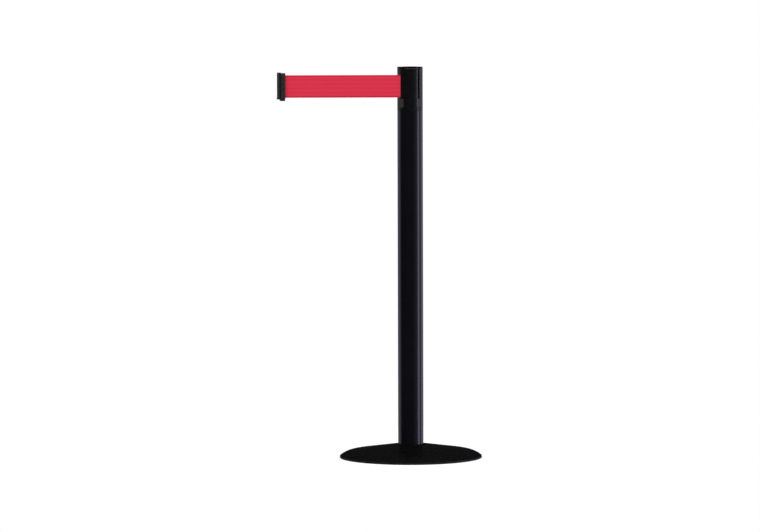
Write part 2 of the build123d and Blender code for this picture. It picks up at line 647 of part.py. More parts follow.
SHOE_OUTER = 13.5
SHOE_INNER = 9.4
with BuildPart() as brake_rotor:
    with BuildSketch(Plane(origin=(0, BRAKE_Y, GEARBOX_BOTTOM + 2))):
        Circle(SHOE_OUTER - 0.4)
    extrude(amount=2)
    with BuildSketch(Plane(origin=(0, BRAKE_Y, GEARBOX_BOTTOM + 4))):
        Circle(SHOE_INNER - 0.6)
        Rectangle(2 * SHOE_OUTER - 1.6, 3.2)
    extrude(amount=12)
    with BuildSketch(Plane(origin=(0, BRAKE_Y, GEARBOX_BOTTOM + 2))):
        Circle(1.5)
    extrude(amount=14, mode=Mode.SUBTRACT)
save(brake_rotor, "brake_rotor")


def save_shoe(name, side):
    """One half-round brake shoe, on the +Y or the -Y side of the rotor's driving bar."""
    with BuildPart() as shoe:
        with BuildSketch(Plane(origin=(0, BRAKE_Y, GEARBOX_BOTTOM + 4.3))):
            Circle(SHOE_OUTER)
            Circle(SHOE_INNER, mode=Mode.SUBTRACT)
            with Locations((0, side * (2.1 + 10))):
                Rectangle(40, 20, mode=Mode.INTERSECT)
        extrude(amount=11.4)
    save(shoe, name)


save_shoe("brake_shoe_outer", 1)
save_shoe("brake_shoe_inner", -1)

# =============================== belt and belt end ===============================

with BuildPart() as belt_run:
    with BuildSketch(Plane.XY.offset(BELT_BOTTOM)):
        with BuildLine():
            FilletPolyline(*BELT_CORNERS, radius=GUIDE_BEND)
        trace(line_width=BELT_THICKNESS)
        with Locations((BELT_PIN_X, BELT_Y)):
            Circle(2.0)
            Circle(1.6, mode=Mode.SUBTRACT)
    extrude(amount=BELT_WIDTH)
save(belt_run, "belt_run")


def save_belt_end_half(name, side):
    """One half of the moulded belt end, split along the belt: flange, neck and clamp."""
    split = Plane.XY.offset(END_BOTTOM)
    height = END_TOP - END_BOTTOM
    corner = (Align.MAX, Align.MIN if side > 0 else Align.MAX)
    with BuildPart() as half:
        with BuildSketch(split):
            with Locations((BELT_END_INNER, BELT_Y)):
                Rectangle(CLAMP_LENGTH, CLAMP_WIDTH / 2, align=corner)
            with Locations((NECK_END + NECK_LENGTH, BELT_Y)):
                Rectangle(NECK_LENGTH + 0.01, NECK_WIDTH / 2, align=corner)
            with Locations((NECK_END, BELT_Y)):
                Rectangle(FLANGE_DEPTH, FLANGE_WIDTH / 2, align=corner)
        extrude(amount=height)
        upright = half.edges().filter_by(Axis.Z)
        edge_y = BELT_Y + side * CLAMP_WIDTH / 2
        fillet([e for e in upright if abs(e.center().Y - edge_y) < 0.01], 2.2)
        upright = half.edges().filter_by(Axis.Z)
        edge_y = BELT_Y + side * FLANGE_WIDTH / 2
        fillet([e for e in upright if abs(e.center().Y - edge_y) < 0.01], 1.4)
        # The clamp stands a little lower than the flange.
        with BuildSketch(Plane.XY.offset(END_TOP - CLAMP_DROP)):
            with Locations((BELT_END_INNER + 1, BELT_Y)):
                Rectangle(CLAMP_LENGTH + 1, 30, align=(Align.MAX, Align.CENTER))
        extrude(amount=10, mode=Mode.SUBTRACT)
        fillet(half.faces().sort_by(Axis.Z)[-1].edges(), 0.5)
        # Upright grip grooves on the clamp's side.
        with BuildSketch(Plane.XZ.offset(-BELT_Y - side * CLAMP_WIDTH / 2)):
            with Locations((BELT_END_INNER - CLAMP_LENGTH / 2, BELT_MIDDLE)):
                with GridLocations(1.9, 0, 4, 1):
                    SlotOverall(50, 0.8, rotation=90)
        extrude(amount=0.4, both=True, mode=Mode.SUBTRACT)
        # Room for the belt, its loop and the pin through the loop.
        with BuildSketch(Plane.XY.offset(BELT_BOTTOM - 0.4)):
            with Locations((BELT_END_INNER + 1, BELT_Y)):
                Rectangle(BELT_END_INNER + 1 - BELT_PIN_X, 0.9, align=(Align.MAX, Align.CENTER))
            with Locations((BELT_PIN_X, BELT_Y)):
                Circle(2.3)
        extrude(amount=BELT_WIDTH + 0.8, mode=Mode.SUBTRACT)
        with BuildSketch(Plane.XY.offset(BELT_BOTTOM - 0.5)):
            with Locations((BELT_PIN_X, BELT_Y)):
                Circle(1.5)
        extrude(amount=BELT_WIDTH + 2.5, mode=Mode.SUBTRACT)
        # Channel for the release slide, with a wider rail inside the clamp.
        with BuildSketch(Plane.XY.offset(END_BOTTOM)):
            with Locations((BELT_END_INNER + 1, BELT_Y)):
                Rectangle(40, 3.4, align=(Align.MAX, Align.CENTER))
        extrude(amount=2.3, mode=Mode.SUBTRACT)
        with BuildSketch(Plane.XY.offset(END_BOTTOM + 0.7)):
            with Locations((BELT_END_INNER - 4.6, BELT_Y)):
                Rectangle(10, 5.2)
        extrude(amount=1.6, mode=Mode.SUBTRACT)
        # Screw holes across the flange.
        with BuildSketch(Plane.XZ.offset(-BELT_Y)):
            with Locations((NECK_END - 2.9, BELT_MIDDLE)):
                with GridLocations(0, 38, 1, 2):
                    Circle(1.0)
        extrude(amount=9, both=True, mode=Mode.SUBTRACT)
        if side > 0:
            with BuildSketch(Plane.XZ.offset(-BELT_Y - FLANGE_WIDTH / 2)):
                with Locations((NECK_END - 2.9, BELT_MIDDLE)):
                    with GridLocations(0, 38, 1, 2):
                        Circle(1.9)
            extrude(amount=2.0, mode=Mode.SUBTRACT)
    save(half, name)


save_belt_end_half("belt_end_front", -1)
save_belt_end_half("belt_end_back", 1)

with BuildPart() as belt_end_screws:
    with BuildSketch(Plane.XZ.offset(-BELT_Y - FLANGE_WIDTH / 2 + 0.2)):
        with Locations((NECK_END - 2.9, BELT_MIDDLE)):
            with GridLocations(0, 38, 1, 2):
                Circle(1.8)
    extrude(amount=1.7)
    with BuildSketch(Plane.XZ.offset(-BELT_Y - FLANGE_WIDTH / 2 + 1.9)):
        with Locations((NECK_END - 2.9, BELT_MIDDLE)):
            with GridLocations(0, 38, 1, 2):
                Circle(0.97)
    extrude(amount=16)
save(belt_end_screws, "belt_end_screws")

with BuildPart() as belt_end_pin:
    with BuildSketch(Plane.XY.offset(BELT_BOTTOM - 0.45)):
        with Locations((BELT_PIN_X, BELT_Y)):
            Circle(1.48)
    extrude(amount=BELT_WIDTH + 2.4)
save(belt_end_pin, "belt_end_pin")

SLIDE_MIDDLE = END_BOTTOM + 0.9
SPRING_PEG_X = BELT_END_INNER - 3.0
with BuildPart() as release_slide:
    with BuildSketch(Plane.XY.offset(END_BOTTOM - 1.2)):
        with Locations((FLANGE_FACE - 1.4, BELT_Y)):
            Rectangle(21.3, 2.8, align=(Align.MIN, Align.CENTER))
    extrude(amount=3.1)
    # Rails that hold the slide up in its channel.
    with BuildSketch(Plane.XY.offset(END_BOTTOM + 1.0)):
        with Locations((BELT_END_INNER - 6.0, BELT_Y)):
            Rectangle(5, 4.6)
    extrude(amount=0.9)
    # Finger tab under the clamp.
    with BuildSketch(Plane.XY.offset(END_BOTTOM - TAB_DROP)):
        with Locations((CLAMP_FACE - 3.4, BELT_Y)):
            Rectangle(13.4, 10, align=(Align.MIN, Align.CENTER))
    extrude(amount=TAB_DROP - 0.4)
    fillet(release_slide.faces().sort_by(Axis.Z)[0].edges(), 0.9)
    # Window for the return spring and the peg that it pushes on.
    with BuildSketch(Plane.XY.offset(END_BOTTOM - 0.2)):
        with Locations((BELT_END_INNER - 9.0, BELT_Y)):
            Rectangle(7.4, 1.9, align=(Align.MIN, Align.CENTER))
    extrude(amount=4, mode=Mode.SUBTRACT)
    # Sloping nose that rides over the receiver's floor.
    with BuildSketch(Plane.XZ.offset(-BELT_Y)):
        with BuildLine():
            Polyline(
                (FLANGE_FACE - 1.5, END_BOTTOM - 1.3),
                (FLANGE_FACE + 0.2, END_BOTTOM - 1.3),
                (FLANGE_FACE - 1.5, END_BOTTOM + 0.6),
                close=True,
            )
        make_face()
    extrude(amount=5, both=True, mode=Mode.SUBTRACT)
save(release_slide, "release_slide")

with BuildPart() as spring_peg:
    with BuildSketch(Plane.XY.offset(END_BOTTOM)):
        with Locations((SPRING_PEG_X, BELT_Y)):
            Circle(0.7)
    extrude(amount=2.28)
save(spring_peg, "spring_peg")

with BuildPart() as latch_spring:
    COIL_RADIUS = 0.62
    with BuildLine() as coil:
        Helix(
            pitch=0.72,
            height=4.9,
            radius=COIL_RADIUS,
            center=(BELT_END_INNER - 8.8, BELT_Y, SLIDE_MIDDLE),
            direction=(1, 0, 0),
        )
    with BuildSketch(Plane(origin=coil.line @ 0, z_dir=coil.line % 0)):
        Circle(0.13)
    sweep(path=coil.line, is_frenet=True)
save(latch_spring, "latch_spring")
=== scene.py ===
import json
import math

import bpy
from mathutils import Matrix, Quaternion, Vector


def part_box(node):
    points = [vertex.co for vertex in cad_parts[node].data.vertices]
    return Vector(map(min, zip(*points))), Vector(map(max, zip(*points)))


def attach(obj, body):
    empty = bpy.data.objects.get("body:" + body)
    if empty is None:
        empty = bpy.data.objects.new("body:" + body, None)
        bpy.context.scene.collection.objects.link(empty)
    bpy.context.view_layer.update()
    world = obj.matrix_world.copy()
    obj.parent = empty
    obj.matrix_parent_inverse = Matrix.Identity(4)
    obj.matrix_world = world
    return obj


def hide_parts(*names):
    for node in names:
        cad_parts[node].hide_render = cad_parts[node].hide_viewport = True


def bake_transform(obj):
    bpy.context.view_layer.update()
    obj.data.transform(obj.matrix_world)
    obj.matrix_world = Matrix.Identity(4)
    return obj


# Looks of a retractable belt stanchion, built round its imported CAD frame. Lengths are in metres.
# +Z is up, the post stands on the origin, and the belt is drawn out along -X, in front of the post.

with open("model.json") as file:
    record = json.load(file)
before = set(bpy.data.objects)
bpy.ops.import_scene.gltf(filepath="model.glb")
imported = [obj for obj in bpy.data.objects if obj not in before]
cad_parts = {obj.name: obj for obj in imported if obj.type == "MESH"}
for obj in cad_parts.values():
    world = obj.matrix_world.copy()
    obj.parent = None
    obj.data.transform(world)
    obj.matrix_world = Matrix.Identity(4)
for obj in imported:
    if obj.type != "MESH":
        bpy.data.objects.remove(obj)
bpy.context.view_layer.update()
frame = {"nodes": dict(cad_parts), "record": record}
MM = 0.001


def middle(node):
    """The centre of a CAD node's box."""
    low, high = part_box(node)
    return (low + high) / 2


# ---- places, from the frame ----
BELT_LOW, BELT_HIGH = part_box("belt_roll")
BELT_BOTTOM = BELT_LOW.z
BELT_TOP = BELT_HIGH.z
BELT_WIDTH = BELT_TOP - BELT_BOTTOM
ROLL_RADIUS = BELT_HIGH.x
END_PIN = middle("belt_end_pin")
END_PIN_LOW, END_PIN_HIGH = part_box("belt_end_pin")
END_PIN_RADIUS = (END_PIN_HIGH.x - END_PIN_LOW.x) / 2
GUIDE_PIN = middle("belt_guide_pin")
CLIP_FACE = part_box("belt_end_front")[1].x
# The spool's hub is inside the roll and between its flanges, so no box gives its radius.
HUB_RADIUS = 6 * MM


# =============================== shader helpers ===============================


def add_node(tree, kind, **settings):
    """A new shader node, with its settings."""
    node = tree.nodes.new(kind)
    for name, value in settings.items():
        setattr(node, name, value)
    return node


def math_node(tree, operation, *values):
    """The result of a Math node whose inputs are sockets or numbers."""
    node = add_node(tree, "ShaderNodeMath", operation=operation)
    for socket, value in zip(node.inputs, values):
        if isinstance(value, bpy.types.NodeSocket):
            tree.links.new(value, socket)
        else:
            socket.default_value = value
    return node.outputs[0]


def map_range(tree, value, low, high, to_low=0.0, to_high=1.0, smooth=False):
    """Maps value from low..high to to_low..to_high, and holds it there outside."""
    node = add_node(tree, "ShaderNodeMapRange")
    if smooth:
        node.interpolation_type = "SMOOTHSTEP"
    tree.links.new(value, node.inputs["Value"])
    for name, number in zip(("From Min", "From Max", "To Min", "To Max"), (low, high, to_low, to_high)):
        node.inputs[name].default_value = number
    return node.outputs["Result"]


def ramp(tree, value, stops):
    """A colour ramp from a list of (place, (red, green, blue))."""
    node = add_node(tree, "ShaderNodeValToRGB")
    elements = node.color_ramp.elements
    while len(elements) < len(stops):
        elements.new(0.5)
    for element, (place, colour) in zip(elements, stops):
        element.position = place
        element.color = (*colour, 1)
    tree.links.new(value, node.inputs["Fac"])
    return node.outputs["Color"]


def blend_values(tree, factor, low, high):
    """A value that goes from low to high with factor."""
    node = add_node(tree, "ShaderNodeMix", data_type="FLOAT")
    tree.links.new(factor, node.inputs["Factor"])
    node.inputs["A"].default_value = low
    node.inputs["B"].default_value = high
    return node.outputs["Result"]


class Finish:
    """A Principled material whose textures lie in the object's own coordinates."""

    def __init__(self, name, colour, roughness, **sockets):
        self.material = bpy.data.materials.new(name)
        self.material.use_nodes = True
        self.tree = self.material.node_tree
        self.shader = self.tree.nodes["Principled BSDF"]
        self.shader.inputs["Base Color"].default_value = (*colour, 1)
        self.shader.inputs["Roughness"].default_value = roughness
        for socket, value in sockets.items():
            self.shader.inputs[socket.replace("_", " ")].default_value = value
        self.place = add_node(self.tree, "ShaderNodeTexCoord").outputs["Object"]
        self.normal = None

    def axis(self, letter):
        """One coordinate of the point being shaded, in metres."""
        node = add_node(self.tree, "ShaderNodeSeparateXYZ")
        self.tree.links.new(self.place, node.inputs[0])
        return node.outputs[letter]

    def noise(self, size, detail=2.0, stretch=(1, 1, 1)):
        """Noise from 0 to 1, its grains about size metres across and longer where stretch is under 1."""
        mapping = add_node(self.tree, "ShaderNodeMapping")
        self.tree.links.new(self.place, mapping.inputs["Vector"])
        mapping.inputs["Scale"].default_value = stretch
        node = add_node(self.tree, "ShaderNodeTexNoise")
        self.tree.links.new(mapping.outputs[0], node.inputs["Vector"])
        node.inputs["Scale"].default_value = 1 / size
        node.inputs["Detail"].default_value = detail
        return node.outputs["Fac"]

    def wave(self, letter, period, peak=0.0):
        """A wave from -1 to 1 along one axis, with a crest at peak."""
        turn = 2 * math.pi / period
        angle = math_node(self.tree, "MULTIPLY_ADD", self.axis(letter), turn, -peak * turn)
        return math_node(self.tree, "COSINE", angle)

    def bump(self, height, depth, strength=1.0):
        """Adds relief: height from 0 to 1 stands for depth metres."""
        node = add_node(self.tree, "ShaderNodeBump")
        node.inputs["Distance"].default_value = depth
        node.inputs["Strength"].default_value = strength
        self.tree.links.new(height, node.inputs["Height"])
        if self.normal is not None:
            self.tree.links.new(self.normal, node.inputs["Normal"])
        self.normal = node.outputs["Normal"]
        self.tree.links.new(self.normal, self.shader.inputs["Normal"])

    def colours(self, factor, *stops):
        """Drives the base colour by a ramp."""
        self.tree.links.new(ramp(self.tree, factor, stops), self.shader.inputs["Base Color"])

    def roughness(self, factor, low, high):
        """Drives the roughness between two values."""
        self.tree.links.new(blend_values(self.tree, factor, low, high), self.shader.inputs["Roughness"])


def scaled(colour, factor):
    """A colour made lighter or darker."""
    return tuple(channel * factor for channel in colour)


# =============================== materials ===============================


def black_paint():
    """Gloss black powder coat: a fine orange peel, and a little dust dulling its shine."""
    black = (0.0022, 0.0022, 0.0027)
    finish = Finish("black_paint", black, 0.16, Coat_Weight=0.0)
    finish.bump(finish.noise(size=2.2 * MM, detail=2.0), depth=0.006 * MM)
    cloudy = finish.noise(size=45 * MM, detail=4.0)
    finish.roughness(cloudy, low=0.13, high=0.2)
    finish.colours(cloudy, (0.3, scaled(black, 0.85)), (0.75, scaled(black, 1.3)))
    return finish.material


def satin_paint():
    """Satin black powder coat on the base's cover, scuffed a little duller in places."""
    black = (0.0042, 0.0042, 0.0045)
    finish = Finish("satin_black_paint", black, 0.26)
    finish.bump(finish.noise(size=1.6 * MM, detail=2.0), depth=0.008 * MM)
    cloudy = finish.noise(size=30 * MM, detail=4.0)
    finish.roughness(cloudy, low=0.22, high=0.32)
    finish.colours(cloudy, (0.3, scaled(black, 0.85)), (0.75, scaled(black, 1.3)))
    return finish.material


def black_plastic():
    """Moulded black plastic with a fine spark-eroded grain."""
    black = (0.0026, 0.0026, 0.0028)
    finish = Finish("black_plastic", black, 0.32)
    finish.bump(finish.noise(size=0.35 * MM, detail=3.0), depth=0.012 * MM)
    patches = finish.noise(size=9 * MM, detail=3.0)
    finish.roughness(patches, low=0.27, high=0.38)
    finish.colours(patches, (0.3, scaled(black, 0.8)), (0.75, scaled(black, 1.4)))
    return finish.material


def charcoal_plastic():
    """Dark grey moulded plastic of the inserts in the head, with a faint flow pattern."""
    grey = (0.024, 0.024, 0.025)
    finish = Finish("charcoal_plastic", grey, 0.42)
    flow = finish.noise(size=7 * MM, detail=3.0, stretch=(1, 1, 0.4))
    finish.roughness(flow, low=0.36, high=0.5)
    finish.colours(flow, (0.3, scaled(grey, 0.85)), (0.75, scaled(grey, 1.2)))
    finish.bump(finish.noise(size=0.4 * MM, detail=3.0), depth=0.012 * MM)
    return finish.material


def grained_plastic():
    """Black plastic of the belt end, with a leather-like moulded grain that greys where it is handled."""
    black = (0.021, 0.021, 0.0218)
    finish = Finish("grained_plastic", black, 0.5)
    worn = finish.noise(size=6 * MM, detail=4.0)
    finish.roughness(worn, low=0.42, high=0.58)
    finish.colours(worn, (0.3, scaled(black, 0.8)), (0.75, scaled(black, 1.35)))
    finish.bump(finish.noise(size=0.6 * MM, detail=4.0), depth=0.035 * MM)
    return finish.material


def webbing():
    """Red polyester webbing: fine ribs along the belt, weft between them, and a firmer selvedge, with
    painted shade along the bottom edge and a painted highlight along the top edge.
    """
    red = (0.562, 0.021, 0.049)
    selvedge = (0.54, 0.005, 0.036)
    finish = Finish("belt_webbing", red, 0.62, Specular_IOR_Level=0.2, Sheen_Weight=0.03)
    across = map_range(finish.tree, finish.axis("Z"), BELT_BOTTOM, BELT_TOP)
    # Shares of the belt's width, from either edge.
    edge = 3.2 * MM / BELT_WIDTH
    inside_edge = edge * 1.3
    bands = finish.wave("Z", period=10.5 * MM, peak=BELT_BOTTOM + 7.4 * MM)
    warp = finish.wave("Z", period=1.9 * MM)
    weft = finish.wave("X", period=2.6 * MM)
    yarn = math_node(finish.tree, "MULTIPLY", warp, weft)
    # The selvedge colour is painted darker towards the bottom edge as shade and lighter towards the top
    # edge as light falling from above.
    stops = [
        (0.0, scaled(selvedge, 0.88)),
        (edge, scaled(selvedge, 0.95)),
        (inside_edge, red),
        (1 - inside_edge, red),
        (1 - edge, selvedge),
        (1.0, scaled(selvedge, 1.05)),
    ]
    plain = ramp(finish.tree, across, stops)
    band_tone = 0.05
    yarn_tone = 0.05
    fleck_tone = 0.2
    tone = math_node(finish.tree, "MULTIPLY_ADD", bands, band_tone, 1.0)
    tone = math_node(finish.tree, "MULTIPLY_ADD", yarn, yarn_tone, tone)
    fleck = finish.noise(size=0.6 * MM, detail=2.0, stretch=(0.15, 1, 1))
    centred_fleck = math_node(finish.tree, "SUBTRACT", fleck, 0.5)
    tone = math_node(finish.tree, "MULTIPLY_ADD", centred_fleck, fleck_tone, tone)
    product = add_node(finish.tree, "ShaderNodeVectorMath", operation="SCALE")
    finish.tree.links.new(plain, product.inputs["Vector"])
    finish.tree.links.new(tone, product.inputs["Scale"])
    finish.tree.links.new(product.outputs["Vector"], finish.shader.inputs["Base Color"])
    finish.bump(map_range(finish.tree, yarn, -1, 1), depth=0.09 * MM)
    finish.bump(fleck, depth=0.03 * MM)
    return finish.material


def thread():
    """Sewing thread, twisted and a little darker than the belt."""
    red = (0.50, 0.02, 0.045)
    finish = Finish("hem_thread", red, 0.5, Sheen_Weight=0.1)
    strands = finish.noise(size=0.25 * MM, detail=2.0, stretch=(1, 1, 0.4))
    finish.colours(strands, (0.3, scaled(red, 0.7)), (0.7, scaled(red, 1.2)))
    finish.bump(strands, depth=0.05 * MM)
    return finish.material


def ground_steel():
    """Ground steel rod and sheet, with fine rings round it."""
    steel = (0.56, 0.56, 0.58)
    finish = Finish("bright_steel", steel, 0.25, Metallic=1.0, Anisotropic=0.4)
    rings = finish.noise(size=0.3 * MM, detail=3.0, stretch=(0.2, 0.2, 1))
    finish.roughness(rings, low=0.18, high=0.34)
    finish.colours(rings, (0.3, scaled(steel, 0.9)), (0.7, steel))
    finish.bump(rings, depth=0.01 * MM)
    return finish.material


def zinc():
    """Zinc plating with its crystals showing."""
    zinc_colour = (0.52, 0.54, 0.58)
    finish = Finish("zinc_fasteners", zinc_colour, 0.35, Metallic=1.0)
    crystals = add_node(finish.tree, "ShaderNodeTexVoronoi")
    crystals.inputs["Scale"].default_value = 1 / (1.2 * MM)
    finish.tree.links.new(finish.place, crystals.inputs["Vector"])
    finish.colours(crystals.outputs["Distance"], (0.1, scaled(zinc_colour, 0.8)), (0.7, zinc_colour))
    finish.roughness(finish.noise(size=2 * MM), low=0.28, high=0.45)
    return finish.material


def black_oxide():
    """Black oxide on steel, faintly brown where it is thin."""
    finish = Finish("black_fasteners", (0.02, 0.02, 0.021), 0.38, Metallic=0.8)
    thin = finish.noise(size=1.5 * MM, detail=4.0)
    thick_oxide = (0.012, 0.012, 0.013)
    thin_oxide = (0.035, 0.031, 0.029)
    finish.colours(thin, (0.35, thick_oxide), (0.75, thin_oxide))
    finish.roughness(thin, low=0.3, high=0.5)
    return finish.material


def spring_steel():
    """Blued spring strip: straw to blue, with fine lines along it."""
    finish = Finish("spring_steel", (0.25, 0.27, 0.33), 0.3, Metallic=1.0)
    tint = finish.noise(size=12 * MM, detail=3.0)
    straw = (0.30, 0.25, 0.2)
    grey_blue = (0.2, 0.22, 0.32)
    blue = (0.12, 0.17, 0.34)
    finish.colours(tint, (0.35, straw), (0.5, grey_blue), (0.7, blue))
    finish.bump(finish.noise(size=0.2 * MM, detail=2.0, stretch=(0.1, 0.1, 1)), depth=0.006 * MM)
    return finish.material


def bronze():
    """Sintered bronze, speckled with open pores."""
    bronze_colour = (0.47, 0.28, 0.12)
    finish = Finish("bronze_bush", bronze_colour, 0.45, Metallic=1.0)
    pores = finish.noise(size=0.3 * MM, detail=4.0)
    finish.colours(pores, (0.38, scaled(bronze_colour, 0.3)), (0.5, bronze_colour))
    finish.bump(pores, depth=0.04 * MM)
    return finish.material


def cast_iron():
    """Cast iron with its sand-mould skin, rusting a little."""
    finish = Finish("cast_iron", (0.1, 0.098, 0.1), 0.7, Metallic=0.6)
    rust = finish.noise(size=22 * MM, detail=6.0)
    skin = (0.095, 0.094, 0.097)
    rusty = (0.13, 0.085, 0.06)
    finish.colours(rust, (0.5, skin), (0.68, rusty))
    finish.bump(finish.noise(size=1.6 * MM, detail=6.0), depth=0.25 * MM)
    finish.roughness(rust, low=0.6, high=0.85)
    return finish.material


def rubber():
    """Matt moulded rubber with a fine grain."""
    finish = Finish("rubber", (0.008, 0.008, 0.008), 0.72, Specular_IOR_Level=0.35)
    grain = finish.noise(size=0.8 * MM, detail=4.0)
    patches = finish.noise(size=20 * MM, detail=4.0)
    finish.colours(patches, (0.35, (0.006, 0.006, 0.006)), (0.75, (0.012, 0.012, 0.012)))
    finish.bump(grain, depth=0.05 * MM)
    return finish.material


def nylon():
    """White moulded acetal that lets a little light in."""
    white = (0.78, 0.77, 0.72)
    finish = Finish("white_nylon", white, 0.38)
    flow = finish.noise(size=8 * MM, detail=3.0, stretch=(1, 1, 0.5))
    finish.colours(flow, (0.3, scaled(white, 0.93)), (0.7, white))
    finish.roughness(flow, low=0.32, high=0.46)
    finish.bump(finish.noise(size=0.5 * MM), depth=0.008 * MM)
    return finish.material


def grey_plastic():
    """Glass-filled nylon, with the fibres just under its skin."""
    grey = (0.075, 0.076, 0.08)
    finish = Finish("grey_plastic", grey, 0.5)
    fibres = finish.noise(size=0.5 * MM, detail=3.0, stretch=(1, 1, 0.25))
    finish.colours(fibres, (0.35, scaled(grey, 0.75)), (0.75, scaled(grey, 1.4)))
    finish.roughness(fibres, low=0.42, high=0.6)
    finish.bump(fibres, depth=0.02 * MM)
    return finish.material


def brake_lining():
    """Pressed friction lining, flecked with fibre and brass."""
    finish = Finish("brake_lining", (0.12, 0.08, 0.055), 0.85)
    flecks = finish.noise(size=0.6 * MM, detail=5.0)
    resin = (0.06, 0.045, 0.035)
    fibre = (0.13, 0.085, 0.055)
    brass = (0.4, 0.3, 0.14)
    finish.colours(flecks, (0.35, resin), (0.55, fibre), (0.72, brass))
    finish.bump(flecks, depth=0.08 * MM)
    return finish.material


FINISHES = {
    "black_paint": black_paint(),
    "satin_black_paint": satin_paint(),
    "black_plastic": black_plastic(),
    "charcoal_plastic": charcoal_plastic(),
    "grained_plastic": grained_plastic(),
    "belt_red": webbing(),
    "bright_steel": ground_steel(),
    "zinc_fasteners": zinc(),
    "black_fasteners": black_oxide(),
    "spring_steel": spring_steel(),
    "bronze_bush": bronze(),
    "cast_iron": cast_iron(),
    "rubber": rubber(),
    "white_nylon": nylon(),
    "grey_plastic": grey_plastic(),
    "brake_lining": brake_lining(),
}

for subpart in frame["record"]["subparts"]:
    for material_slot in frame["nodes"][subpart["node"]].material_slots:
        material_slot.material = FINISHES[subpart["material_slot"]]


# =============================== belt ===============================


def make_piece(name, vertices, faces, material, smooth=True):
    """A mesh object in the row frame, at the origin."""
    mesh = bpy.data.meshes.new(name)
    mesh.from_pydata(vertices, [], faces)
    mesh.validate()
    mesh.materials.append(material)
    if smooth:
        mesh.shade_smooth()
    piece = bpy.data.objects.new(name, mesh)
    bpy.context.scene.collection.objects.link(piece)
    return piece


def on_circle(radius, angle, centre=(0, 0)):
    """A point in plan, at an angle round a centre."""
    return centre[0] + radius * math.cos(angle), centre[1] + radius * math.sin(angle)


def tube_faces(first, rings, corners):
    """The sides and both ends of a closed tube, whose rings of vertices follow each other from first."""
    faces = []
    last = first + (rings - 1) * corners
    for ring in range(first, last, corners):
        following_ring = ring + corners
        for corner in range(corners):
            following = (corner + 1) % corners
            side = (ring + corner, ring + following, following_ring + following, following_ring + corner)
            faces.append(side)
    faces.append(tuple(reversed(range(first, first + corners))))
    faces.append(tuple(range(last, last + corners)))
    return faces


WEB_THICKNESS = 0.42 * MM
# Wound under tension, each turn takes a little less than the free belt's thickness.
WOUND_THICKNESS = 0.4 * MM
# The belt's long edges are rounded over this width, where half the thickness goes down to LEAST_HALF.
EDGE_ROUNDING = 0.4 * MM
LEAST_HALF = 0.03 * MM
RIB_HEIGHT = 0.07 * MM
RIB_PITCH = 10.4 * MM
POINTS_ACROSS = 60
DOUBLED_GAP = 0.215 * MM
HEM_LENGTH = 6 * MM


def belt_section(ribbed):
    """Half the belt's thickness at each point across it, with the height of that point."""
    section = []
    for step in range(POINTS_ACROSS + 1):
        # Closer together at the two edges, which are rounded.
        share = 0.5 - 0.5 * math.cos(math.pi * step / POINTS_ACROSS)
        height = BELT_BOTTOM + BELT_WIDTH * share
        from_edge = min(height - BELT_BOTTOM, BELT_TOP - height)
        roundness = math.sqrt(1 - (1 - min(1.0, from_edge / EDGE_ROUNDING)) ** 2)
        crown = abs(math.sin(math.pi * (height - BELT_BOTTOM) / RIB_PITCH))
        half = WEB_THICKNESS / 2 + (RIB_HEIGHT * crown if ribbed else 0)
        section.append((height, max(LEAST_HALF, half * roundness)))
    return section


def sweep_belt(name, stations):
    """The belt along a line in plan.

    Each station is a place, the direction along the belt there, and whether the belt has ribs there.
    """
    vertices = []
    for place, along, ribbed in stations:
        side = Vector((along.y, -along.x))
        section = belt_section(ribbed)
        for height, half in section:
            vertices.append((place.x + side.x * half, place.y + side.y * half, height))
        for height, half in reversed(section):
            vertices.append((place.x - side.x * half, place.y - side.y * half, height))
    faces = tube_faces(0, len(stations), 2 * (POINTS_ACROSS + 1))
    return make_piece(name, vertices, faces, FINISHES["belt_red"])


def belt_line():
    """The belt in plan: off the roll, past the guide pin, along -X, and round the pin of the belt end."""
    guide = Vector((GUIDE_PIN.x, END_PIN.y))
    reach = guide.length
    clear_of_roll = 0.5 * MM
    leave_radius = ROLL_RADIUS + clear_of_roll
    turn = math.atan2(guide.y, guide.x) + math.acos(leave_radius / reach)
    leave = Vector((math.cos(turn), math.sin(turn))) * leave_radius
    towards_guide = (guide - leave).normalized()
    out = Vector((-1, 0))
    stations = [(leave, towards_guide, True)]
    bend = 1.2 * MM
    bend_steps = 4
    start = guide - towards_guide * bend
    finish = guide + out * bend
    for step in range(bend_steps + 1):
        share = step / bend_steps
        place = start * (1 - share) ** 2 + guide * 2 * share * (1 - share) + finish * share**2
        stations.append((place, towards_guide.lerp(out, share).normalized(), True))
    past_guide = 4 * MM
    past_hem = 0.5 * MM
    post_end = Vector((GUIDE_PIN.x - past_guide, END_PIN.y))
    clip_end = Vector((CLIP_FACE + HEM_LENGTH + past_hem, END_PIN.y))
    stations.append((post_end, out, True))
    stations.append((clip_end, out, True))
    # The front layer goes round the pin, and comes back behind as the second layer of the hem.
    front = END_PIN.y - DOUBLED_GAP
    back = END_PIN.y + DOUBLED_GAP
    front_start = clip_end.x - 0.7 * MM
    back_end = clip_end.x - 0.9 * MM
    beside_pin = END_PIN.x + 3 * MM
    stations.append((Vector((front_start, front)), out, False))
    stations.append((Vector((beside_pin, front)), out, False))
    clear_of_pin = 0.02 * MM
    loop_radius = END_PIN_RADIUS + WEB_THICKNESS / 2 + clear_of_pin
    loop_start = -60
    loop_turn = 240
    loop_steps = 14
    for step in range(loop_steps + 1):
        angle = math.radians(loop_start - loop_turn * step / loop_steps)
        place = Vector(on_circle(loop_radius, angle, END_PIN))
        stations.append((place, Vector((math.sin(angle), -math.cos(angle))), False))
    stations.append((Vector((beside_pin, back)), -out, False))
    stations.append((Vector((back_end, back)), -out, False))
    return stations, post_end, clip_end


line, post_end, clip_end = belt_line()
belt = sweep_belt("belt_webbing", line)
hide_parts("belt_run")
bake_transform(belt)


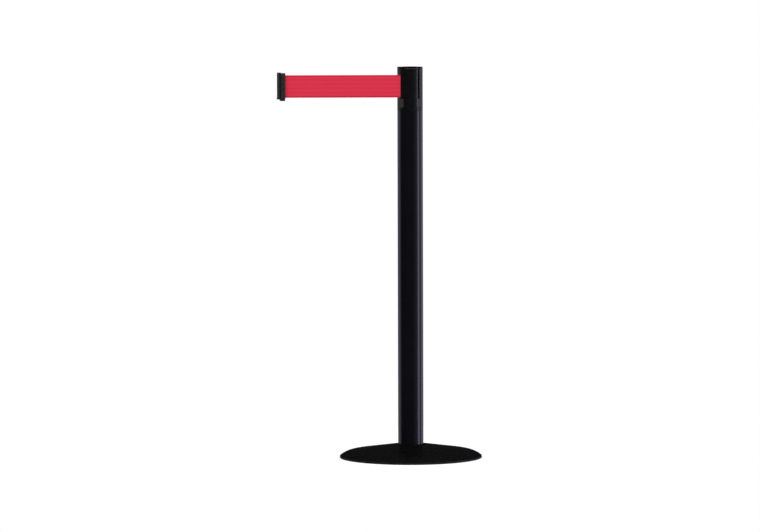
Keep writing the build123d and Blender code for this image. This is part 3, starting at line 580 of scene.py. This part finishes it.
def wound_roll():
    """The rest of the belt, wound on the spool as one long spiral, with its length."""
    pitch = WOUND_THICKNESS
    # The webbing fills most of each turn's share of the radius, so the turns stay apart.
    layer = pitch * 0.9
    last_inner = ROLL_RADIUS - pitch * 0.95
    turns = int((ROLL_RADIUS - HUB_RADIUS) / pitch)
    steps_per_turn = 32
    length = 0.0
    vertices = []
    steps = turns * steps_per_turn
    for step in range(steps + 1):
        angle = 2 * math.pi * step / steps_per_turn
        inner = HUB_RADIUS + pitch * step / steps_per_turn
        inner = min(inner, last_inner)
        outer = inner + layer
        length += (inner + outer) / 2 * 2 * math.pi / steps_per_turn
        for radius, height in (
            (inner, BELT_BOTTOM),
            (inner, BELT_TOP),
            (outer, BELT_TOP),
            (outer, BELT_BOTTOM),
        ):
            vertices.append((*on_circle(radius, angle), height))
    faces = tube_faces(0, steps + 1, 4)
    return make_piece("belt_on_spool", vertices, faces, FINISHES["belt_red"], smooth=False), length


roll, roll_length = wound_roll()
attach(roll, "spool")
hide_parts("belt_roll")


def hem_stitches():
    """Two rows of short stitches through the hem beside the clip, seen on both faces."""
    stitch_length = 2.0 * MM
    stitch_pitch = 2.8 * MM
    thread_radius = 0.16 * MM
    # A stitch tapers to this share of its radius where it goes into the belt, and lies this deep in it.
    end_share = 0.35
    sunk = 0.6
    rows = [CLIP_FACE + 1.7 * MM, CLIP_FACE + 4.2 * MM]
    unstitched = 4 * MM
    count = int((BELT_WIDTH - unstitched) / stitch_pitch)
    first = (BELT_TOP + BELT_BOTTOM - (count - 1) * stitch_pitch) / 2
    vertices = []
    faces = []
    around = 8
    along = 6
    for x in rows:
        for face_side in (-1, 1):
            surface = END_PIN.y + face_side * (DOUBLED_GAP + WEB_THICKNESS / 2)
            for number in range(count):
                centre = first + number * stitch_pitch
                start = len(vertices)
                for step in range(along + 1):
                    share = step / along
                    lift = math.sin(math.pi * share)
                    radius = thread_radius * (end_share + (1 - end_share) * lift)
                    height = centre + (share - 0.5) * stitch_length
                    y = surface + face_side * (lift - sunk) * thread_radius
                    for corner in range(around):
                        angle = 2 * math.pi * corner / around
                        vertices.append((*on_circle(radius, angle, (x, y)), height))
                faces += tube_faces(start, along + 1, around)
    return make_piece("hem_stitches", vertices, faces, thread())


stitches = hem_stitches()
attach(stitches, "belt_end")


def latch_coil():
    """The release slide's return spring, as a plain copy of the CAD spring's mesh; in the real stanchion
    the slide presses it shorter against the peg.
    """
    coil = bpy.data.objects.new("latch_coil", frame["nodes"]["latch_spring"].data.copy())
    bpy.context.scene.collection.objects.link(coil)
    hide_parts("latch_spring")
    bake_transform(coil)


latch_coil()

# =============================== studio ===============================


def add_camera():
    """A long lens in front of the post, looking slightly down, with the post right of the middle."""
    target = Vector((-0.076, 0, 0.4803))
    in_front = 12.1
    eye_height = 1.356
    place = Vector((target.x, -in_front, eye_height))
    distance = (place - target).length
    frame_width = 1.9
    data = bpy.data.cameras.new("camera")
    data.sensor_width = 36.0
    data.lens = data.sensor_width * distance / frame_width
    data.clip_end = 100
    camera = bpy.data.objects.new("camera", data)
    bpy.context.scene.collection.objects.link(camera)
    camera.location = place
    roll_degrees = -0.16
    tilt = Quaternion((0, 0, 1), math.radians(roll_degrees))
    camera.rotation_euler = ((place - target).to_track_quat("Z", "Y") @ tilt).to_euler()
    bpy.context.scene.camera = camera


def add_key_light(name, azimuth, elevation, power):
    """A large soft light, at an azimuth from the camera's side towards +X. Both angles are in degrees."""
    aim = Vector((-0.1, 0, 0.6))
    distance = 2.6
    data = bpy.data.lights.new(name, "AREA")
    data.shape = "SQUARE"
    data.size = 1.3
    data.energy = power
    light = bpy.data.objects.new(name, data)
    bpy.context.scene.collection.objects.link(light)
    a = math.radians(azimuth)
    e = math.radians(elevation)
    direction = Vector((math.sin(a) * math.cos(e), -math.cos(a) * math.cos(e), math.sin(e)))
    light.location = aim + distance * direction
    light.rotation_euler = direction.to_track_quat("Z", "Y").to_euler()
    light.visible_camera = False
    light.visible_glossy = False


def add_floor():
    """A plain white floor, left out of reflections."""
    radius = 0.7
    points = 96
    under_the_pad = 0.2 * MM
    vertices = []
    for step in range(points):
        angle = 2 * math.pi * step / points
        vertices.append((*on_circle(radius, angle), -under_the_pad))
    paper = Finish("floor_paper", (0.99, 0.99, 0.99), 0.9, Specular_IOR_Level=0.0)
    paper.colours(paper.noise(size=0.2, detail=2.0), (0.3, (0.98, 0.98, 0.98)), (0.7, (1.0, 1.0, 1.0)))
    floor = make_piece("floor", vertices, [tuple(range(points))], paper.material, smooth=False)
    floor.visible_glossy = False


# What shining surfaces see at their own level and below: (azimuth, brightness), with the azimuth in
# degrees from the camera's side towards +X.
STUDIO_WALLS = [
    (-180, 0.05),
    (-165, 0.15),
    (-140, 0.36),
    (-119, 0.6),
    (-103, 0.42),
    (-94, 0.1),
    (-88, 0.03),
    (0, 0.06),
    (20, 0.06),
    (28, 0.1),
    (55, 0.24),
    (68, 0.35),
    (73, 2.1),
    (84, 2.1),
    (92, 0.5),
    (104, 0.32),
    (113, 0.75),
    (121, 1.0),
    (143, 0.48),
    (165, 0.2),
    (180, 0.05),
]
WALL_TINT = (0.93, 0.9, 1.24)
# What they see above: the walls fade into this ceiling while the rise of a unit ray goes up to WALL_TOP.
CEILING = (0.013, 0.013, 0.0145)
WALL_TOP = 0.08
EVEN_LIGHT = 0.8
# Sockets of a Mix node that mixes colours, whose names repeat for each kind of data.
MIX_COLOUR_A = 6
MIX_COLOUR_B = 7
MIX_COLOUR_RESULT = 2


def light_world():
    """White to the camera, even light on every surface, and the studio's walls in what shines."""
    world = bpy.data.worlds.new("studio")
    bpy.context.scene.world = world
    world.use_nodes = True
    # The background differs by kind of ray, so it is found by bouncing and isn't sampled as a light.
    world.cycles.sampling_method = "NONE"
    tree = world.node_tree
    tree.nodes.clear()
    output = add_node(tree, "ShaderNodeOutputWorld")
    direction = add_node(tree, "ShaderNodeSeparateXYZ")
    tree.links.new(add_node(tree, "ShaderNodeTexCoord").outputs["Generated"], direction.inputs[0])
    towards_camera = math_node(tree, "MULTIPLY", direction.outputs["Y"], -1.0)
    azimuth = math_node(tree, "ARCTAN2", direction.outputs["X"], towards_camera)
    around = map_range(tree, azimuth, -math.pi, math.pi)
    stops = [(0.5 + degrees / 360, scaled(WALL_TINT, level)) for degrees, level in STUDIO_WALLS]
    walls = ramp(tree, around, stops)
    above = map_range(tree, direction.outputs["Z"], 0.0, WALL_TOP, smooth=True)
    shine = add_node(tree, "ShaderNodeMix", data_type="RGBA")
    tree.links.new(above, shine.inputs["Factor"])
    tree.links.new(walls, shine.inputs[MIX_COLOUR_A])
    shine.inputs[MIX_COLOUR_B].default_value = (*CEILING, 1)
    glossy = add_node(tree, "ShaderNodeBackground")
    tree.links.new(shine.outputs[MIX_COLOUR_RESULT], glossy.inputs["Color"])
    even = add_node(tree, "ShaderNodeBackground")
    even.inputs["Color"].default_value = (1, 1, 1, 1)
    even.inputs["Strength"].default_value = EVEN_LIGHT
    backdrop = add_node(tree, "ShaderNodeBackground")
    backdrop.inputs["Color"].default_value = (1, 1, 1, 1)
    rays = add_node(tree, "ShaderNodeLightPath")
    for_glossy = add_node(tree, "ShaderNodeMixShader")
    tree.links.new(rays.outputs["Is Glossy Ray"], for_glossy.inputs["Fac"])
    tree.links.new(even.outputs[0], for_glossy.inputs[1])
    tree.links.new(glossy.outputs[0], for_glossy.inputs[2])
    for_camera = add_node(tree, "ShaderNodeMixShader")
    tree.links.new(rays.outputs["Is Camera Ray"], for_camera.inputs["Fac"])
    tree.links.new(for_glossy.outputs[0], for_camera.inputs[1])
    tree.links.new(backdrop.outputs[0], for_camera.inputs[2])
    tree.links.new(for_camera.outputs[0], output.inputs["Surface"])


add_camera()
add_key_light("key_left", azimuth=-38, elevation=50, power=24)
add_key_light("key_right", azimuth=34, elevation=52, power=22)
add_floor()
light_world()
bpy.context.scene.view_settings.view_transform = "Standard"
